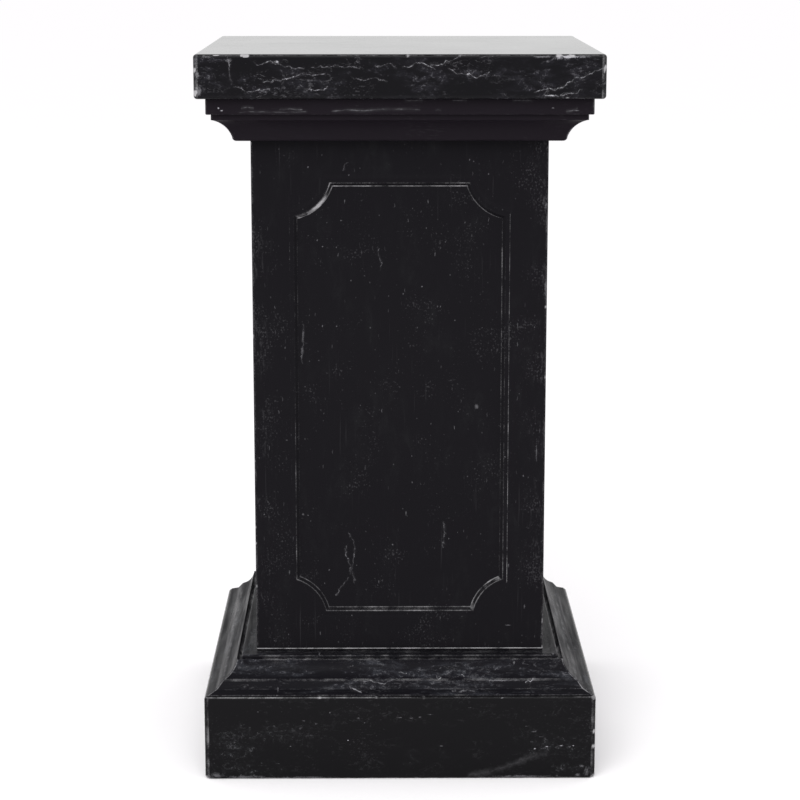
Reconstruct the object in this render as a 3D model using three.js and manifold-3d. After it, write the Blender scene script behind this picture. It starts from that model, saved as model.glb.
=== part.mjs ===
// Square pedestal of polished black marble, built as five stacked blocks:
// plinth, base moulding, panelled shaft, cap moulding and top slab.
// Millimetres, +Z up, front face towards -Y, origin at the centre of the underside.
import * as THREE from 'three';
import { mergeVertices } from 'three/addons/utils/BufferGeometryUtils.js';
import Module from 'manifold-3d';

// Driving dimensions: heights of the five courses, from the floor up
const PLINTH_HEIGHT = 109.5;
const BASE_HEIGHT = 41;
const SHAFT_HEIGHT = 656;
const CAP_HEIGHT = 54;
const SLAB_HEIGHT = 53.5;

// Driving dimensions: widths of the five courses
const PLINTH_WIDTH = 496;
const BASE_FOOT_WIDTH = 488;
const BASE_TOP_WIDTH = 406;
const SHAFT_WIDTH = 368;
const CAP_FOOT_WIDTH = 410;
const CAP_TOP_WIDTH = 470;
const SLAB_WIDTH = 496;

// Worn arrises of the two plain blocks and of the shaft
const ARRIS_RADIUS = 4;
const CORNER_RADIUS = 5;
const SHAFT_ARRIS_RADIUS = 2;
const ROUND_STEPS = 4;

// Base moulding, from its foot up: wash, steep face, nosing, cavetto with a raised rim, quirk, fillet
const BASE_FOOT_RISE = 1;
const BASE_WASH_WIDTH = 467;
const BASE_WASH_HEIGHT = 5.6;
const BASE_FACE_WIDTH = 453;
const BASE_FACE_HEIGHT = 14.2;
const BASE_NOSING_RUN = 2.4;
const BASE_NOSING_RISE = 1.6;
const BASE_CAVETTO_RADIUS = 30;
const BASE_RIM_WIDTH = 417;
const BASE_RIM_HEIGHT = 37.3;
const BASE_QUIRK_DEPTH = 5.5;
const BASE_ROUND = 3;

// Cap moulding, from its foot up: rounded lip, cavetto, lower fillet, upper fillet
const CAP_LIP_RADIUS = 5;
const CAP_CAVETTO_RADIUS = 34;
const CAP_CAVETTO_RISE = 22;
const CAP_LOWER_FILLET_WIDTH = 458;
const CAP_LOWER_FILLET_HEIGHT = 7.5;
const CAP_SHOULDER_RUN = 2.5;
const CAP_SHOULDER_RISE = 0.75;
const CAP_ROUND = 1.5;
const CAVETTO_STEPS = 10;

// Sunk panel on each face of the shaft, with scooped corners and a bevelled edge
const PANEL_SIDE_INSET = 52.5;
const PANEL_END_INSET = 53.5;
const TOP_SCOOP_ACROSS = 45;
const TOP_SCOOP_RISE = 41;
const LOW_SCOOP_ACROSS = 37.5;
const LOW_SCOOP_RISE = 41.5;
const SCOOP_RADIUS = 56;
const PANEL_BEVEL_WIDTH = 4;
const PANEL_DEPTH = 4;
const PANEL_CUTTER_REACH = 1;
const SCOOP_STEPS = 12;

const wasm = await Module();
wasm.setup();

// One stone, one finish; the blocks differ a little in depth of colour
function marble(color) {
  return new THREE.MeshStandardMaterial({ color, roughness: 0.18, metalness: 0 });
}

function namedMesh(name, geometry, material, z) {
  const mesh = new THREE.Mesh(geometry, material);
  mesh.name = name;
  mesh.position.z = z;
  return mesh;
}

// A point of a profile: distance from the axis and height above the course's own bed
function at(x, y) {
  return new THREE.Vector2(x, y);
}

// Points of a circular arc from one profile point to the next; side +1 or -1 picks the bulge
function arcBetween(from, to, radius, side, steps) {
  const chord = to.clone().sub(from);
  const half = chord.length() / 2;
  const normal = new THREE.Vector2(-chord.y, chord.x).normalize().multiplyScalar(side);
  const centre = from.clone().add(to).multiplyScalar(0.5);
  centre.addScaledVector(normal, -Math.sqrt(radius * radius - half * half));
  const start = from.clone().sub(centre).angle();
  const sweep = 2 * Math.asin(half / radius) * -side;
  const points = [];
  for (let i = 0; i <= steps; i += 1) {
    const angle = start + (sweep * i) / steps;
    points.push(at(centre.x + radius * Math.cos(angle), centre.y + radius * Math.sin(angle)));
  }
  return points;
}

// Outline of a square with rounded corners, centred on the origin
function roundedSquare(width, radius) {
  const half = width / 2;
  const inner = half - radius;
  const shape = new THREE.Shape();
  shape.moveTo(-inner, -half);
  shape.absarc(inner, -inner, radius, -Math.PI / 2, 0, false);
  shape.absarc(inner, inner, radius, 0, Math.PI / 2, false);
  shape.absarc(-inner, inner, radius, Math.PI / 2, Math.PI, false);
  shape.absarc(-inner, -inner, radius, Math.PI, Math.PI * 1.5, false);
  return shape;
}

// A plain block with every arris rounded, standing on z = 0
function roundedBlock(width, height) {
  const shape = roundedSquare(width - 2 * ARRIS_RADIUS, CORNER_RADIUS - ARRIS_RADIUS);
  const geometry = new THREE.ExtrudeGeometry(shape, {
    depth: height - 2 * ARRIS_RADIUS,
    bevelEnabled: true,
    bevelThickness: ARRIS_RADIUS,
    bevelSize: ARRIS_RADIUS,
    bevelSegments: ROUND_STEPS,
    curveSegments: ROUND_STEPS,
  });
  return geometry.translate(0, 0, ARRIS_RADIUS);
}

// A moulding: a profile of (half width, height) carried round a square with mitred corners
function squareMoulding(profile) {
  const corner = profile.map((p) => at(p.x * Math.SQRT2, p.y));
  const geometry = new THREE.LatheGeometry(corner, 4, Math.PI / 4);
  return geometry.rotateX(Math.PI / 2);
}

function baseProfile() {
  const foot = BASE_FOOT_WIDTH / 2;
  const face = BASE_FACE_WIDTH / 2;
  const top = BASE_TOP_WIDTH / 2;
  const cavettoFoot = at(face - BASE_NOSING_RUN, BASE_FACE_HEIGHT + BASE_NOSING_RISE);
  const rim = at(BASE_RIM_WIDTH / 2, BASE_RIM_HEIGHT);
  const arrisFoot = at(top, BASE_HEIGHT - BASE_ROUND);
  const arrisTop = at(top - BASE_ROUND, BASE_HEIGHT);
  return [
    at(0, 0),
    at(foot, 0),
    at(foot, BASE_FOOT_RISE),
    at(BASE_WASH_WIDTH / 2, BASE_WASH_HEIGHT),
    at(face, BASE_FACE_HEIGHT),
    ...arcBetween(cavettoFoot, rim, BASE_CAVETTO_RADIUS, 1, CAVETTO_STEPS),
    at(top, rim.y - BASE_QUIRK_DEPTH),
    ...arcBetween(arrisFoot, arrisTop, BASE_ROUND, -1, ROUND_STEPS),
    at(0, BASE_HEIGHT),
  ];
}

function capProfile() {
  const foot = CAP_FOOT_WIDTH / 2;
  const lower = CAP_LOWER_FILLET_WIDTH / 2;
  const upper = CAP_TOP_WIDTH / 2;
  const cavettoRise = CAP_LIP_RADIUS + CAP_CAVETTO_RISE;
  const step = cavettoRise + CAP_LOWER_FILLET_HEIGHT;
  const lipFoot = at(foot - CAP_LIP_RADIUS, 0);
  const cavettoFoot = at(foot, CAP_LIP_RADIUS);
  const cavettoTop = at(lower - CAP_SHOULDER_RUN, cavettoRise);
  return [
    at(0, 0),
    ...arcBetween(lipFoot, cavettoFoot, CAP_LIP_RADIUS, -1, ROUND_STEPS),
    ...arcBetween(cavettoFoot, cavettoTop, CAP_CAVETTO_RADIUS, 1, CAVETTO_STEPS).slice(1),
    at(lower, cavettoRise + CAP_SHOULDER_RISE),
    at(lower, step),
    ...arcBetween(at(upper - CAP_ROUND, step), at(upper, step + CAP_ROUND), CAP_ROUND, -1, ROUND_STEPS),
    at(upper, CAP_HEIGHT),
    at(0, CAP_HEIGHT),
  ];
}

// Outline of the sunk panel: a tall rectangle whose corners are scooped out by arcs
function panelOutline() {
  const halfWidth = SHAFT_WIDTH / 2 - PANEL_SIDE_INSET;
  const halfHeight = SHAFT_HEIGHT / 2 - PANEL_END_INSET;
  const points = [];
  for (const [sx, sy] of [[1, -1], [1, 1], [-1, 1], [-1, -1]]) {
    const across = sy > 0 ? TOP_SCOOP_ACROSS : LOW_SCOOP_ACROSS;
    const rise = sy > 0 ? TOP_SCOOP_RISE : LOW_SCOOP_RISE;
    const onEnd = at(sx * (halfWidth - across), sy * halfHeight);
    const onSide = at(sx * halfWidth, sy * (halfHeight - rise));
    const [from, to] = sx * sy < 0 ? [onEnd, onSide] : [onSide, onEnd];
    points.push(...arcBetween(from, to, SCOOP_RADIUS, 1, SCOOP_STEPS));
  }
  return new THREE.Shape(points);
}

// The body that cuts one panel; its bevel runs a little out past the shaft's face
function panelCutter(quarterTurn) {
  const stretch = (PANEL_DEPTH + PANEL_CUTTER_REACH) / PANEL_DEPTH;
  const geometry = new THREE.ExtrudeGeometry(panelOutline(), {
    depth: PANEL_CUTTER_REACH,
    bevelEnabled: true,
    bevelThickness: PANEL_DEPTH + PANEL_CUTTER_REACH,
    bevelSize: PANEL_BEVEL_WIDTH * stretch,
    bevelOffset: -PANEL_BEVEL_WIDTH,
    bevelSegments: 1,
  });
  geometry.translate(0, 0, SHAFT_WIDTH / 2 + PANEL_CUTTER_REACH);
  geometry.rotateX(Math.PI / 2);
  geometry.rotateZ((quarterTurn * Math.PI) / 2);
  return geometry.translate(0, 0, SHAFT_HEIGHT / 2);
}

function toSolid(geometry) {
  const bare = geometry.clone();
  bare.deleteAttribute('normal');
  bare.deleteAttribute('uv');
  const merged = mergeVertices(bare);
  return new wasm.Manifold(new wasm.Mesh({
    numProp: 3,
    vertProperties: new Float32Array(merged.attributes.position.array),
    triVerts: new Uint32Array(merged.index.array),
  }));
}

function toGeometry(solid) {
  const mesh = solid.getMesh();
  const geometry = new THREE.BufferGeometry();
  geometry.setAttribute('position', new THREE.BufferAttribute(mesh.vertProperties, 3));
  geometry.setIndex(new THREE.BufferAttribute(mesh.triVerts, 1));
  geometry.computeVertexNormals();
  return geometry;
}

// The shaft: a square block with one panel sunk into each of its four faces
function panelledShaft() {
  const block = new THREE.ExtrudeGeometry(roundedSquare(SHAFT_WIDTH, SHAFT_ARRIS_RADIUS), {
    depth: SHAFT_HEIGHT,
    bevelEnabled: false,
    curveSegments: ROUND_STEPS,
  });
  let solid = toSolid(block);
  for (let face = 0; face < 4; face += 1) {
    solid = solid.subtract(toSolid(panelCutter(face)));
  }
  return toGeometry(solid);
}

const baseZ = PLINTH_HEIGHT;
const shaftZ = baseZ + BASE_HEIGHT;
const capZ = shaftZ + SHAFT_HEIGHT;
const slabZ = capZ + CAP_HEIGHT;

const pedestal = new THREE.Group();
pedestal.add(
  namedMesh('plinth', roundedBlock(PLINTH_WIDTH, PLINTH_HEIGHT), marble(0x1e1e20), 0),
  namedMesh('base_moulding', squareMoulding(baseProfile()), marble(0x2a2a2e), baseZ),
  namedMesh('shaft', panelledShaft(), marble(0x1d1c20), shaftZ),
  namedMesh('cap_moulding', squareMoulding(capProfile()), marble(0x201f22), capZ),
  namedMesh('top_slab', roundedBlock(SLAB_WIDTH, SLAB_HEIGHT), marble(0x232326), slabZ),
);

export default pedestal;
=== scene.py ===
"""Looks of a square pedestal of polished black marble: worn blocks, veined stone and a plain studio.

Sizes are millimetres in the part's own frame (+Z up, front towards -Y) and become metres in the meshes.
"""

import math
from dataclasses import dataclass
from functools import reduce

import bmesh
import bpy
import numpy as np
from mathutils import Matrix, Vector
from mathutils.geometry import delaunay_2d_cdt


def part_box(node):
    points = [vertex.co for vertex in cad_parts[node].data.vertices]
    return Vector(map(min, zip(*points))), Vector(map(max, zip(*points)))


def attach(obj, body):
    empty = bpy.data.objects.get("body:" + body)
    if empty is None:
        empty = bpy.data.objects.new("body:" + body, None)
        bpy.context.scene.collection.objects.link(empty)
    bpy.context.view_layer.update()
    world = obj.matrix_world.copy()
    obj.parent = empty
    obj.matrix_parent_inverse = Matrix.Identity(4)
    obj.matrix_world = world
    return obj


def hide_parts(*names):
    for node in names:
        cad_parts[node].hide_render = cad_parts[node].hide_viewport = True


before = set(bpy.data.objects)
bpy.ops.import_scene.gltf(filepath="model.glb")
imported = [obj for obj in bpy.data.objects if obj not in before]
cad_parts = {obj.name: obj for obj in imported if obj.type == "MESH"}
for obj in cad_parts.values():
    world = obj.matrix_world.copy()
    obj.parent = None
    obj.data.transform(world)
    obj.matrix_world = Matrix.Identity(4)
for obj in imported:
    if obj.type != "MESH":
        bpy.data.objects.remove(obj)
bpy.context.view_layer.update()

MM = 0.001
SEED = 20

# Arrises and corners of the blocks
ARRIS_RADIUS = 4
CORNER_RADIUS = 5
SHAFT_ARRIS_RADIUS = 2
SHAFT_ARRIS_WEAR = 0.45
SHAFT_RIM_RADIUS = 1
MITRE_RADIUS = 1.2
LEAST_CORNER = 1
JOINT_ROUND = 0.7

# Base moulding, from its foot up: wash, steep face, nosing, cavetto with a raised rim, quirk, fillet
BASE_TOP_WIDTH = 406
BASE_FOOT_RISE = 1
BASE_WASH_WIDTH = 467
BASE_WASH_HEIGHT = 5.6
BASE_FACE_WIDTH = 453
BASE_FACE_HEIGHT = 14.2
BASE_NOSING_RUN = 2.4
BASE_NOSING_RISE = 1.6
BASE_CAVETTO_RADIUS = 30
BASE_RIM_WIDTH = 417
BASE_RIM_HEIGHT = 37.3
BASE_QUIRK_DEPTH = 5.5
BASE_ROUND = 3

# Cap moulding, from its foot up: rounded lip, cavetto, lower fillet, upper fillet
CAP_FOOT_WIDTH = 410
CAP_LIP_RADIUS = 5
CAP_CAVETTO_RADIUS = 34
CAP_CAVETTO_RISE = 22
CAP_LOWER_FILLET_WIDTH = 458
CAP_LOWER_FILLET_HEIGHT = 7.5
CAP_SHOULDER_RUN = 2.5
CAP_SHOULDER_RISE = 0.75
CAP_ROUND = 1.5

# Sunk panel on each face of the shaft, with scooped corners
PANEL_SIDE_INSET = 52.5
PANEL_END_INSET = 53.5
TOP_SCOOP = (45, 41)
LOW_SCOOP = (37.5, 41.5)
SCOOP_RADIUS = 56
PANEL_DEPTH = 4

# Mesh spacing
COLUMN_STEP = 3
FINE_COLUMN_STEP = 1.5
FINE_REACH = 12
ROW_STEP = 4
SUPPORT = 1.2
BED_REACH = 14
ARC_STEPS = 6
CAVETTO_STEPS = 14
SCOOP_STEPS = 26
END_STEPS = 72
SIDE_STEPS = 156
FIELD_STEP = 14
CORNER_STRIP = 4
RIM_STEPS = 3
LATTICE_MARGIN = 6
MERGE_DISTANCE = 0.002
SHARP_ANGLE = math.radians(38)

# Wear of the arrises: its spread on to the flats and round the corners, and the nicks and chips
WEAR_REACH = 1.2
SIDE_LEAN = 0.15
RIM_WEAR = 0.3
NICK_REACH = (2, 5)
NICK_WEAR = 1.1
CHIP_WEAR = 2.2
CHIP_RIPPLE = 0.3
CHIP_WAVELENGTH = 4
CORNER_CHIP_REACH = 90

# Wear of the plinth's top front arris: places across it, and factors
PLINTH_TOP_WEAR = [(-240, 1), (-60, 0.95), (0, 0.65), (60, 0.45), (160, 0.4), (215, 0.5), (240, 1)]

# Layers of the stone: linear greys, strengths, noise scales in cells per metre, and the relief of the bump
FLECK_GREY = 0.3
BRIGHT_MARK_GREY = 0.34
# Grey of worn edges; the same grey paints the highlight on the front panel's bevel and the light in the
# base's quirk
WORN_AND_PAINTED_LIGHT_GREY = 0.34
BREAK_GREY = 0.3
HAZE_GREY = 0.05
HAZE_STRENGTH = 0.3
HAZE_SPREAD = 5
FAINT_VEIN = 0.5
RISING_VEIN = 0.55
VEIN_TAPER = 0.06
FINE_SCALE = 900
GRAIN_SCALE = 160
CROWD_SCALE = 17
FRONT_BLEND = 0.006
EDGE_REACH = 0.045
SIDE_SHIFT = 2.6
BUMP_STRENGTH = 0.22
BUMP_DEPTH = 0.4

# Studio, in metres and watts
FLOOR_REACH = 60
FLOOR_GREYS = (0.975, 0.985)
ROOM_LIGHT = 1.02
KEY_SIZE = (4, 3)
KEY_PLACE = (-0.7, -3.9, 3.6)
KEY_AIM = (0, 0, 0.3)
KEY_POWER = 150

# Camera of the photograph, square frame
CAMERA_PLACE = (-20.6, -3047.2, 1059.25)
CAMERA_PITCH = 0.1998
CAMERA_YAW = 0.0073
CAMERA_LENS = 104.37
SENSOR = 36
CAMERA_FAR = 200


def node_size(name):
    """Half width, bed height and top height of a CAD node, in millimetres."""
    low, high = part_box(name)
    return (high.x - low.x) / 2 / MM, low.z / MM, high.z / MM


# Profiles of the blocks: points of (half width, height), and their worn edges and painted light, with a
# strength each

def pairs(x, y):
    """Points of two coordinates, either of which may be one number for all."""
    return np.column_stack(np.broadcast_arrays(x, y))


def arc_between(start, end, radius, side, steps):
    """Points of a circular arc from one profile point to the next; side +1 or -1 picks the bulge."""
    start, end = np.array([start, end], float)
    chord = end - start
    half = np.hypot(*chord) / 2
    normal = np.array([-chord[1], chord[0]]) / (2 * half) * side
    centre = (start + end) / 2 - normal * math.sqrt(max(radius**2 - half**2, 0))
    first = math.atan2(start[1] - centre[1], start[0] - centre[0])
    sweep = 2 * math.asin(min(half / radius, 1)) * -side
    angles = first + sweep * np.linspace(0, 1, steps + 1)
    return centre + radius * pairs(np.cos(angles), np.sin(angles))


def round_foot(half, height, radius, steps=ARC_STEPS):
    """A rounded edge that turns up from a bed at this height."""
    return arc_between((half - radius, height), (half, height + radius), radius, -1, steps)


def round_top(half, height, radius, steps=ARC_STEPS):
    """A rounded edge that turns in to a bed at this height."""
    return arc_between((half, height - radius), (half - radius, height), radius, -1, steps)


def refined(points):
    """The profile with long stretches divided, and a supporting point near each of their ends."""
    rows = [points[0]]
    for start, end in zip(points[:-1], points[1:]):
        length = np.hypot(*(end - start))
        cuts = [1]
        if length > 3 * SUPPORT:
            count = math.ceil(length / ROW_STEP)
            margin = SUPPORT / length
            inner = np.arange(1, count) / count
            keep = inner[(inner > 1.6 * margin) & (inner < 1 - 1.6 * margin)]
            cuts = [margin, *keep, 1 - margin, 1]
        rows.extend(start + (end - start) * cut for cut in cuts)
    return np.array(rows)


def block_profile(half, height, low_wear, high_wear):
    """A plain block with a rounded arris at the bottom and at the top, and how worn they are."""
    low = round_foot(half, 0, ARRIS_RADIUS)
    high = round_top(half, height, ARRIS_RADIUS)
    return np.vstack([low, high]), [(low[ARC_STEPS // 2], low_wear), (high[ARC_STEPS // 2], high_wear)]


def base_profile(foot, height):
    """The base moulding, and its pale places: worn edges, painted light lifting the quirk's shade, a band on
    the ledge.
    """
    top = BASE_TOP_WIDTH / 2
    face = (BASE_FACE_WIDTH / 2, BASE_FACE_HEIGHT)
    nosing = (face[0] - BASE_NOSING_RUN, BASE_FACE_HEIGHT + BASE_NOSING_RISE)
    rim = (BASE_RIM_WIDTH / 2, BASE_RIM_HEIGHT)
    wash = (BASE_WASH_WIDTH / 2, BASE_WASH_HEIGHT)
    bed = [(foot, 0), (foot, BASE_FOOT_RISE)]
    cavetto = arc_between(nosing, rim, BASE_CAVETTO_RADIUS, 1, CAVETTO_STEPS)
    quirk = (top, BASE_RIM_HEIGHT - BASE_QUIRK_DEPTH)
    arris = round_top(top, height, BASE_ROUND)
    ledge = (top - BED_REACH, height)
    # The quirk's entry is painted light that lifts the groove's shade; the ledge's wide entry paints a pale
    # band by the shaft
    worn = [(bed[1], 0.52), (wash, 0.4), (face, 0.45), (nosing, 0.5), (rim, 0.5), (quirk, 0.9, 5.5),
            (arris[ARC_STEPS // 2], 0.5, 1.4), (ledge, 0.34, 10)]
    return np.vstack([bed, wash, face, cavetto, quirk, arris]), worn


def cap_profile(upper, height):
    """The cap moulding, and how worn its edges are."""
    foot = CAP_FOOT_WIDTH / 2
    lower = CAP_LOWER_FILLET_WIDTH / 2
    cavetto_rise = CAP_LIP_RADIUS + CAP_CAVETTO_RISE
    step = cavetto_rise + CAP_LOWER_FILLET_HEIGHT
    lip = round_foot(foot, 0, CAP_LIP_RADIUS)
    cavetto = arc_between((foot, CAP_LIP_RADIUS), (lower - CAP_SHOULDER_RUN, cavetto_rise),
                          CAP_CAVETTO_RADIUS, 1, CAVETTO_STEPS)
    shoulder = np.array([(lower, cavetto_rise + CAP_SHOULDER_RISE), (lower, step)])
    fillet = round_foot(upper, step, CAP_ROUND)
    bed = round_top(upper, height, JOINT_ROUND, 2)
    worn = [(lip[ARC_STEPS // 2], 0.3), (shoulder[0], 0.25), (fillet[ARC_STEPS // 2], 0.4), (bed[1], 0.3)]
    return np.vstack([lip, cavetto[1:], shoulder, fillet, bed]), worn


# Blocks: a profile carried round a square

class Patches:
    """Collects patches of a surface; coincident points are merged when the mesh is made."""

    def __init__(self):
        self.points, self.wear_and_painted_light, self.faces, self.count = [], [], [], 0

    def add(self, points, faces, wear_and_painted_light):
        self.points.append(points)
        self.wear_and_painted_light.append(np.broadcast_to(wear_and_painted_light, len(points)).astype(float))
        self.faces += [[int(i) + self.count for i in face] for face in faces]
        self.count += len(points)

    def add_grid(self, grid, wear_and_painted_light, closed=False):
        """A grid of points, rows by columns; a closed grid joins its last column to its first."""
        rows, columns = grid.shape[:2]
        index = np.arange(rows * columns).reshape(rows, columns)
        right = np.roll(index, -1, axis=1)
        stop = columns if closed else columns - 1
        faces = np.stack([index[:-1], right[:-1], right[1:], index[1:]], axis=-1)[:, :stop].reshape(-1, 4)
        self.add(grid.reshape(-1, 3), faces, np.broadcast_to(wear_and_painted_light, (rows, columns)).ravel())

    def add_fan(self, loop, facing_up, wear_and_painted_light):
        """Triangles from a level loop to its middle, on the axis."""
        ring = np.arange(len(loop))
        ahead = np.roll(ring, -1)
        sides = zip(ring, ahead) if facing_up else zip(ahead, ring)
        fan = [(len(loop), a, b) for a, b in sides]
        self.add(np.vstack([loop, (0, 0, loop[0, 2])]), fan, wear_and_painted_light)

    def surface(self, bed):
        """Points, faces and wear, lifted to the height of the bed."""
        points = np.vstack(self.points)
        points[:, 2] += bed
        return points, self.faces, np.hstack(self.wear_and_painted_light)


def side_fractions(flat):
    """Places along one side, from -1 to 1, closer together near the corners."""
    fine = np.arange(0, FINE_REACH, FINE_COLUMN_STEP)
    count = math.ceil(2 * (flat - FINE_REACH) / COLUMN_STEP)
    middle = np.linspace(-(flat - FINE_REACH), flat - FINE_REACH, count + 1)
    return np.hstack([fine - flat, middle, flat - fine[::-1]]) / flat


def square_ring(half, corner, fractions):
    """One loop of points round a square with rounded corners, anticlockwise from the front left."""
    flat = half - corner
    turn = np.radians(np.linspace(-90, 0, ARC_STEPS + 1)[1:-1])
    side = pairs(flat * fractions, -half)
    arc = pairs(flat + corner * np.cos(turn), -flat + corner * np.sin(turn))
    loop = np.vstack([side, arc])
    quarters = [loop]
    for _ in range(3):
        loop = pairs(-loop[:, 1], loop[:, 0])
        quarters.append(loop)
    return np.vstack(quarters)


def raised(loop, height):
    """A flat loop of points lifted to a height."""
    return np.column_stack([loop, np.full(len(loop), height)])


def corner_wear(flat, fractions, strength):
    """Wear round the loop: it fades along the sides and leans to the front and back of each corner."""
    from_corner = flat * (1 - np.abs(fractions))
    side = np.exp(-((from_corner / WEAR_REACH) ** 2))
    lean = np.linspace(1, SIDE_LEAN, ARC_STEPS + 1)[1:-1]
    return strength * np.tile(np.hstack([side, lean, side * SIDE_LEAN, lean[::-1]]), 2)


def profile_wear_and_painted_light(rows, worn):
    """Wear and painted light of each profile point, from its distance to the listed places, some with a
    reach of their own.
    """
    wear_and_painted_light = np.zeros(len(rows))
    for place, strength, *reach in worn:
        away = np.hypot(*(rows - place).T) / (reach[0] if reach else WEAR_REACH)
        wear_and_painted_light = np.maximum(wear_and_painted_light, strength * np.exp(-(away**2)))
    return wear_and_painted_light


def swept_block(profile, worn, bed, corner_strength, corner_at=lambda half: MITRE_RADIUS):
    """Points, faces and wear of a block: the profile carried round a square and closed on its axis.

    The radius of its corners may change with the half width; without that they are those of a mitre.
    """
    inwards = (BED_REACH, 0)
    rows = refined(np.vstack([profile[0] - inwards, profile, profile[-1] - inwards]))
    widest = rows[:, 0].max()
    flat = widest - corner_at(widest)
    fractions = side_fractions(flat)
    heights = rows[:, 1]
    on_side = ~(np.isclose(heights, heights[0]) | np.isclose(heights, heights[-1]))
    round_wear = on_side[:, None] * corner_wear(flat, fractions, corner_strength)[None, :]
    edge_wear_and_painted_light = profile_wear_and_painted_light(rows, worn)
    grid = np.stack([raised(square_ring(half, corner_at(half), fractions), z) for half, z in rows])
    patches = Patches()
    patches.add_grid(grid, np.maximum(edge_wear_and_painted_light[:, None], round_wear), closed=True)
    for end, facing_up in ((0, False), (-1, True)):
        patches.add_fan(grid[end], facing_up, np.append(np.full(len(grid[end]), edge_wear_and_painted_light[end]), 0))
    return patches.surface(bed)


def plain_block(half, low, high, low_wear, high_wear, corner_strength):
    """A plain block between two heights; its corners are tighter where an arris draws in."""
    profile, worn = block_profile(half, high - low, low_wear, high_wear)
    return swept_block(profile, worn, low, corner_strength,
                       lambda at: max(CORNER_RADIUS - (half - at), LEAST_CORNER))


# Shaft: a square block with a bevelled panel sunk into each face

# Cross-section of the panel's edge: offset inwards from the outline, and depth
PANEL_EDGE = [
    (-22, 0), (-12, 0), (-6.2, 0), (-5.7, 0.12), (-5.2, 0.12), (-4.7, 0), (-2.4, 0),
    (-1.1, 0), (-0.4, 0.06), (0.1, 0.25), (0.7, 0.7), (1.5, 1.5), (2.3, 2.3), (3, 3),
    (3.6, 3.58), (4.1, 3.92), (4.7, 4), (5.8, 4), (8, 4),
]

# Pale lines of that edge, with their strength at each offset: outer edge, bevel, inner edge, and a fine line
# scribed on the frame; the edges and the scribed line are wear, the bevel's line is a painted highlight
PANEL_LINES = [
    {-1.1: 0.3, -0.4: 0.9, 0.1: 1, 0.7: 0.3},
    {0.1: 0.2, 0.7: 0.8, 1.5: 1, 2.3: 1, 3: 0.9, 3.6: 0.5, 4.1: 0.1},
    {3: 0.3, 3.6: 0.9, 4.1: 1, 4.7: 0.3},
    {-5.7: 0.9, -5.2: 0.9},
]

# Strength of those lines on each stretch of the outline, anticlockwise from the upper right scoop: one value
# or several, spread evenly along the stretch
# On the front, the bevel and the brightest scoops, upper left and lower right, are painted highlight; the
# rest is wear
FRONT_PANEL_WEAR_AND_HIGHLIGHT = [
    ([0.25], [0], [0.6, 0.75, 0.8], [0]),
    ([0.75, 0.5, 0.55], [0], [1.1], [0]),
    ([0.9, 0.7, 0.5], [0.2, 0.45, 1.7, 1.7, 1, 0.6], [0.9, 0.9, 1.2, 1.1], [0]),
    ([0.25, 0.3, 0.5, 0.62], [0], [0.36, 0.3], [0.34, 0.2]),
    ([0.65], [0], [0.65], [0]),
    ([0.75], [0.3, 0.4, 0.3], [0.75], [0]),
    ([0.8], [0.9, 0.15, 0.2, 0.6, 0.2, 0.9], [1, 0.8, 0.9, 1.3, 1], [0]),
    ([0.55, 0.4, 0.2], [0], [0.35, 0.5, 0.62], [0.85, 0.7, 0.62]),
]
PLAIN_PANEL_WEAR = [([0.45], [0], [0.5], [0.15])] * len(FRONT_PANEL_WEAR_AND_HIGHLIGHT)

# Wear up the foot of the shaft, with the pale line just above the joint: height above the bed, and wear
FOOT_LINE = [(2.1, 0.1), (2.7, 1.5), (3.4, 1.5), (4, 0.1), (5, 0)]


class ShaftFace:
    """Spacing of the points on one face of the shaft, the same on all four."""

    def __init__(self, half, height):
        self.half, self.height = half, height
        self.flat = half - SHAFT_ARRIS_RADIUS
        self.guard = self.flat - CORNER_STRIP
        self.end_guard = FOOT_LINE[-1][0]
        self.middle = np.linspace(-self.guard, self.guard, math.ceil(2 * self.guard / COLUMN_STEP) + 1)
        edge = np.array([self.flat - SUPPORT, self.flat])
        self.across = np.hstack([-edge[::-1], self.middle, edge])
        rows = math.ceil((height - 2 * self.end_guard) / COLUMN_STEP) + 1
        self.levels = np.linspace(self.end_guard, height - self.end_guard, rows)
        self.half_width = half - PANEL_SIDE_INSET
        self.half_height = height / 2 - PANEL_END_INSET

    def point(self, uv, depth, quarter):
        """Points on a face, given across, up from mid height, and their depth in the stone."""
        x, y = uv[:, 0], np.full(len(uv), depth - self.half)
        for _ in range(quarter):
            x, y = -y, x
        return np.column_stack([x, y, uv[:, 1] + self.height / 2])

    def border(self):
        """The loop round a face where it meets the rims and the corner strips."""
        end = self.height / 2 - self.end_guard
        rise = self.levels - self.height / 2
        sides = [
            pairs(self.middle, -end), pairs(self.guard, rise),
            pairs(self.middle[::-1], end), pairs(-self.guard, rise[::-1]),
        ]
        return np.vstack([side[:-1] for side in sides])


def scoop(offset, half_width, half_height, across, rise):
    """The upper right corner of the panel, from the side round to the end, moved inwards by an offset."""
    middle = np.array([half_width - across / 2, half_height - rise / 2])
    length = math.hypot(across, rise)
    outward = np.array([rise, across]) / length
    centre = middle + outward * math.sqrt(SCOOP_RADIUS**2 - length**2 / 4)
    radius = SCOOP_RADIUS + offset
    side, end = half_width - offset, half_height - offset
    cusp_side = (side, centre[1] - math.sqrt(radius**2 - (centre[0] - side) ** 2))
    cusp_end = (centre[0] - math.sqrt(radius**2 - (centre[1] - end) ** 2), end)
    first, last = (math.atan2(y - centre[1], x - centre[0]) % math.tau for x, y in (cusp_side, cusp_end))
    angles = np.linspace(first, last, SCOOP_STEPS + 1)
    return centre + radius * pairs(np.cos(angles), np.sin(angles))


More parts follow.
